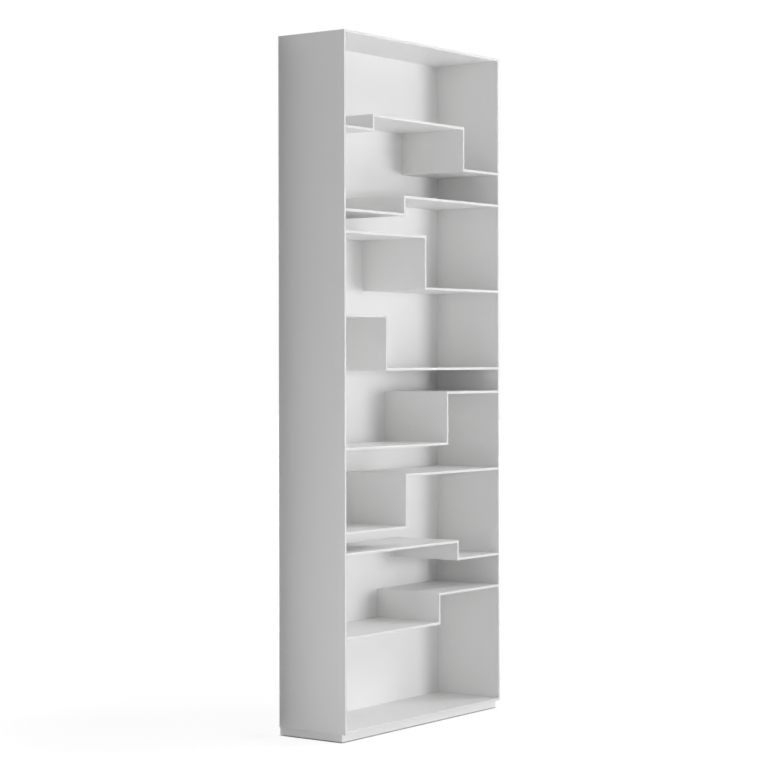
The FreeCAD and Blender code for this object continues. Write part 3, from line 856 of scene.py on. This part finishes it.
class BOOKSHELF_OT_fit_feet(bpy.types.Operator):
    """Plate the sleeves, cut the threads of the stems and mould the floor pads"""
    bl_idname = "bookshelf.fit_feet"
    bl_label = "Fit the levelling feet"

    def execute(self, context):
        settings = context.scene.shelf_feet
        steel = finish(zinc_plated_steel, context.scene.shelf_hardware)
        nylon = finish(black_nylon, settings)
        paint(["foot_sleeves"], steel)
        stem_tree = levelling_stem_tree()
        pad_tree = ribbed_pad_tree()
        for corner in CORNERS:
            self.cut_stem(corner, settings, stem_tree, steel)
            self.mould_pad(corner, settings, pad_tree, nylon)
        return {"FINISHED"}

    def cut_stem(self, corner, settings, tree, steel):
        """Stem with its thread, hexagon and spigot."""
        low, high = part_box(f"{corner}_foot_stem")
        radius = settings.stem_diameter / 2
        spigot = settings.spigot_diameter / 2
        hexagon_top = PAD_HEIGHT + settings.hexagon_height
        thread_top = high.z - settings.stem_bevel
        # The shoulder between the spigot and the thread is hidden in the hexagon
        profile = [(0, low.z), (spigot, low.z), (spigot, PAD_HEIGHT + settings.hexagon_height / 2)]
        profile += fine_run(radius, hexagon_top - settings.hexagon_height / 4, thread_top,
                            settings.thread_pitch / STEM_STEPS_PER_TURN)
        profile += [(radius - settings.stem_bevel, high.z), (0, high.z)]
        blank = turned_mesh(f"{corner}_stem_blank", profile, STEM_SIDES)
        stem = bake(f"{corner}_threaded_stem", blank, tree, {
            "Thread Pitch": settings.thread_pitch, "Thread Depth": settings.thread_depth,
            "Thread Radius": radius, "Thread Bottom": hexagon_top, "Thread Top": high.z,
            "Hexagon Width": settings.hexagon_width, "Hexagon Bottom": PAD_HEIGHT,
            "Hexagon Height": settings.hexagon_height, "Place": foot_of(low, high), "Finish": steel})
        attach(stem, f"{corner}_stem")
        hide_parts(f"{corner}_foot_stem")

    def mould_pad(self, corner, settings, tree, nylon):
        """Pad with its ribbed rim and the socket for the spigot."""
        low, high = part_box(f"{corner}_foot_pad")
        rim = (high.x - low.x) / 2
        bevel = settings.pad_bevel
        socket = settings.socket_diameter / 2
        socket_floor = PAD_HEIGHT - settings.socket_depth
        lower = [(rim - bevel * (1 - math.sin(turn)), bevel * (1 - math.cos(turn)))
                 for turn in quarter_turn(BEVEL_STEPS)]
        upper = [(radius, PAD_HEIGHT - height) for radius, height in reversed(lower)]
        profile = [(0, 0)] + lower + upper
        profile += [(socket, PAD_HEIGHT), (socket, socket_floor), (0, socket_floor)]
        blank = turned_mesh(f"{corner}_pad_blank", profile, settings.rib_count * SIDES_PER_RIB)
        pad = bake(f"{corner}_ribbed_pad", blank, tree, {
            "Rib Count": settings.rib_count, "Rib Depth": settings.rib_depth, "Rim Radius": rim,
            "Place": foot_of(low, high), "Finish": nylon})
        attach(pad, f"{corner}_pad")
        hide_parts(f"{corner}_foot_pad")


# Camera: width of its sensor in millimetres, and how far it sees
SENSOR_WIDTH = 36
VIEW_REACH = 200.0

# Floor: distances from the middle between which its shadow fades out
FLOOR_SHADOW = (0.9, 2.6)

# Lamps: how far off those hang that are aimed at the case, and the spread of those that shine down
LAMP_DISTANCE = 9.0
WASH_SPREAD = math.radians(70)

# Flag: a near-black sheet, a painted shadow that stands for the shadow the case throws on a wall behind it;
# its gap to the side panel, and its colour
FLAG_GAP = 3 * MM
PAINTED_SHADOW_COLOUR = (0.02, 0.02, 0.02)


class BOOKSHELF_OT_set_stage(bpy.types.Operator):
    """Lay the floor, hang the lamps and place the camera"""
    bl_idname = "bookshelf.set_stage"
    bl_label = "Set the stage"

    def execute(self, context):
        settings = context.scene.shelf_studio
        self.lay_floor(context, settings)
        self.fill_world(context, settings)
        self.hang_lamps(context, settings)
        self.set_flag(context, settings)
        self.place_camera(context, settings)
        context.scene.view_settings.view_transform = "Standard"
        return {"FINISHED"}

    def lay_sheet(self, context, name, corners, material):
        """Flat sheet between four corners."""
        mesh = bpy.data.meshes.new(name)
        mesh.from_pydata(corners, [], [(0, 1, 2, 3)])
        mesh.materials.append(material)
        sheet = bpy.data.objects.new(name, mesh)
        context.scene.collection.objects.link(sheet)
        return sheet

    def lay_floor(self, context, settings):
        """Pale floor that reaches well past the picture."""
        half = settings.floor_size / 2
        corners = [(-half, -half, 0), (half, -half, 0), (half, half, 0), (-half, half, 0)]
        floor = self.lay_sheet(context, "studio_floor", corners, self.pale_floor(settings))

    def pale_floor(self, settings):
        """Paint with a faint shadow near the object, plain white further out and clear from below."""
        material, graph = new_material("pale_floor")
        place = graph.add("ShaderNodeTexCoord", output="Object")
        reach = graph.add("ShaderNodeVectorMath", {"operation": "LENGTH"}, {0: place}, output="Value")
        far = graph.span(reach, *FLOOR_SHADOW)
        low, high = self.plinth_box()
        axes = graph.add("ShaderNodeSeparateXYZ", inputs={0: place})
        beside = (axes - (low.x + high.x) / 2).maths("ABSOLUTE") - (high.x - low.x) / 2
        before = (axes.output("Y") - (low.y + high.y) / 2).maths("ABSOLUTE") - (high.y - low.y) / 2
        outside = graph.span(beside.maths("MAXIMUM", before), 0.0, settings.contact_width)
        painted = graph.add("ShaderNodeBsdfDiffuse", inputs={"Color": opaque(settings.floor_colour)})
        bare = 1 - settings.floor_white
        white = graph.add("ShaderNodeEmission", inputs={
            "Strength": (1 - bare * settings.floor_level) / settings.floor_white})
        share = graph.in_view() * outside * (settings.floor_white + bare * far)
        top = graph.add("ShaderNodeMixShader", inputs={0: share, 1: painted, 2: white})
        clear = graph.add("ShaderNodeBsdfTransparent")
        under = graph.add("ShaderNodeNewGeometry", output="Backfacing")
        surface = graph.add("ShaderNodeMixShader", inputs={0: under, 1: top, 2: clear})
        graph.add("ShaderNodeOutputMaterial", inputs={"Surface": surface})
        return material

    def plinth_box(self):
        """Lowest and highest corner of the plinth's four rails."""
        corners = [corner for rail in PLINTH_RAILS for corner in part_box(rail)]
        return [Vector([pick(corner[axis] for corner in corners) for axis in range(3)])
                for pick in (min, max)]

    def fill_world(self, context, settings):
        """White surroundings for the camera and for reflections, with a plain soft light elsewhere."""
        world = bpy.data.worlds.new("studio")
        world.use_nodes = True
        context.scene.world = world
        graph = Graph(world.node_tree)
        light = graph.add("ShaderNodeBackground", inputs={
            "Color": opaque(settings.lamp_colour), "Strength": settings.ambient})
        white = graph.add("ShaderNodeBackground", inputs={"Color": opaque((1.0, 1.0, 1.0)), "Strength": 1.0})
        sky = graph.add("ShaderNodeMixShader", inputs={0: graph.in_view(), 1: light, 2: white})
        graph.add("ShaderNodeOutputWorld", inputs={"Surface": sky})

    def hang_lamps(self, context, settings):
        """Large soft lamps to the right of the camera, far enough off to light every bay alike."""
        middle = Vector((0.0, 0.0, CASE_TOP / 2))
        self.hang_lamp(context, "key_lamp", settings.key_power, turn=19, distance=LAMP_DISTANCE,
                       height=1.1, size=(2.8, 1.9), target=middle)
        self.hang_lamp(context, "high_lamp", settings.high_power, turn=50, distance=LAMP_DISTANCE,
                       height=6.5, size=(3.0, 3.0), target=middle)
        rear = self.hang_lamp(context, "rear_lamp", settings.rear_power, turn=170, distance=LAMP_DISTANCE,
                              height=3.0, size=(3.0, 3.0), target=middle)
        rear.visible_glossy = False
        near = self.hang_lamp(context, "near_wash", settings.near_wash_power, turn=-45, distance=2.4,
                              height=3.4, size=(1.6, 1.6))
        front = self.hang_lamp(context, "front_wash", settings.front_wash_power, turn=20, distance=4.4,
                               height=3.4, size=(1.6, 1.6))
        near.data.spread = front.data.spread = WASH_SPREAD

    def hang_lamp(self, context, name, power, turn, distance, height, size, target=None):
        """Lamp at a turn in degrees from straight in front, aimed at a point or else straight down."""
        lamp = bpy.data.lights.new(name, "AREA")
        lamp.shape = "RECTANGLE"
        lamp.size, lamp.size_y = size
        lamp.energy = power
        lamp.color = context.scene.shelf_studio.lamp_colour
        item = bpy.data.objects.new(name, lamp)
        angle = math.radians(turn)
        item.location = (distance * math.sin(angle), -distance * math.cos(angle), height)
        if target is not None:
            item.rotation_euler = (target - item.location).to_track_quat("-Z", "Y").to_euler()
        item.visible_camera = False
        context.scene.collection.objects.link(item)
        return item

    def set_flag(self, context, settings):
        """Dark strip in the plane of the case's rear edge, which only diffuse light meets: a painted shadow
        that stands for the case's shadow on a wall.
        """
        low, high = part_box("left_side_panel")
        near = low.x - FLAG_GAP
        away = near - settings.flag_width
        material, graph = new_material("painted_wall_shadow")
        # Painted shadow: a near-black sheet where the case's shadow on a wall would fall
        shadow_sheet = graph.add("ShaderNodeBsdfDiffuse", inputs={"Color": opaque(PAINTED_SHADOW_COLOUR)})
        graph.add("ShaderNodeOutputMaterial", inputs={"Surface": shadow_sheet})
        corners = [(near, high.y, low.z), (away, high.y, low.z),
                   (away, high.y, high.z), (near, high.y, high.z)]
        flag = self.lay_sheet(context, "shade_flag", corners, material)
        flag.visible_camera = False
        flag.visible_glossy = False

    def place_camera(self, context, settings):
        """Level camera at the photograph's viewing angle."""
        data = bpy.data.cameras.new("studio_camera")
        data.sensor_width = SENSOR_WIDTH
        data.lens = settings.lens
        data.shift_y = settings.lens_shift
        data.clip_end = VIEW_REACH
        camera = bpy.data.objects.new("studio_camera", data)
        camera.location = settings.camera_place
        camera.rotation_euler = (math.pi / 2, settings.camera_roll, settings.camera_heading)
        context.scene.collection.objects.link(camera)
        context.scene.camera = camera


OPERATORS = (
    BOOKSHELF_OT_lacquer_case,
    BOOKSHELF_OT_lacquer_shelves,
    BOOKSHELF_OT_finish_plinth,
    BOOKSHELF_OT_drive_back_screws,
    BOOKSHELF_OT_fit_wall_brackets,
    BOOKSHELF_OT_fit_feet,
    BOOKSHELF_OT_set_stage,
)

SETTINGS = {
    "shelf_lacquer": LacquerSettings,
    "shelf_timber": TimberSettings,
    "shelf_hardware": HardwareSettings,
    "shelf_feet": FootSettings,
    "shelf_studio": StudioSettings,
}


class BOOKSHELF_PT_sidebar(bpy.types.Panel):
    """Steps of the bookshelf in working order, with their settings"""
    bl_idname = "BOOKSHELF_PT_sidebar"
    bl_label = "Staircase Bookshelf"
    bl_space_type = "VIEW_3D"
    bl_region_type = "UI"
    bl_category = "Bookshelf"

    def draw(self, context):
        for operator in OPERATORS:
            self.layout.operator(operator.bl_idname)
        for name, group in SETTINGS.items():
            column = self.layout.column(align=True)
            column.label(text=group.__doc__)
            for setting in group.__annotations__:
                column.prop(getattr(context.scene, name), setting)


CLASSES = (*SETTINGS.values(), *OPERATORS, BOOKSHELF_PT_sidebar)


def register():
    """Make the settings, the operators and the panel known."""
    for kind in CLASSES:
        bpy.utils.register_class(kind)
    for name, group in SETTINGS.items():
        setattr(bpy.types.Scene, name, PointerProperty(type=group))


def unregister():
    """Take away what register added."""
    for name in SETTINGS:
        delattr(bpy.types.Scene, name)
    for kind in reversed(CLASSES):
        bpy.utils.unregister_class(kind)


def main():
    """Finish every piece and set the stage."""
    register()
    bpy.ops.bookshelf.lacquer_case()
    bpy.ops.bookshelf.lacquer_shelves()
    bpy.ops.bookshelf.finish_plinth()
    bpy.ops.bookshelf.drive_back_screws()
    bpy.ops.bookshelf.fit_wall_brackets()
    bpy.ops.bookshelf.fit_feet()
    bpy.ops.bookshelf.set_stage()


if __name__ == "__main__":
    main()
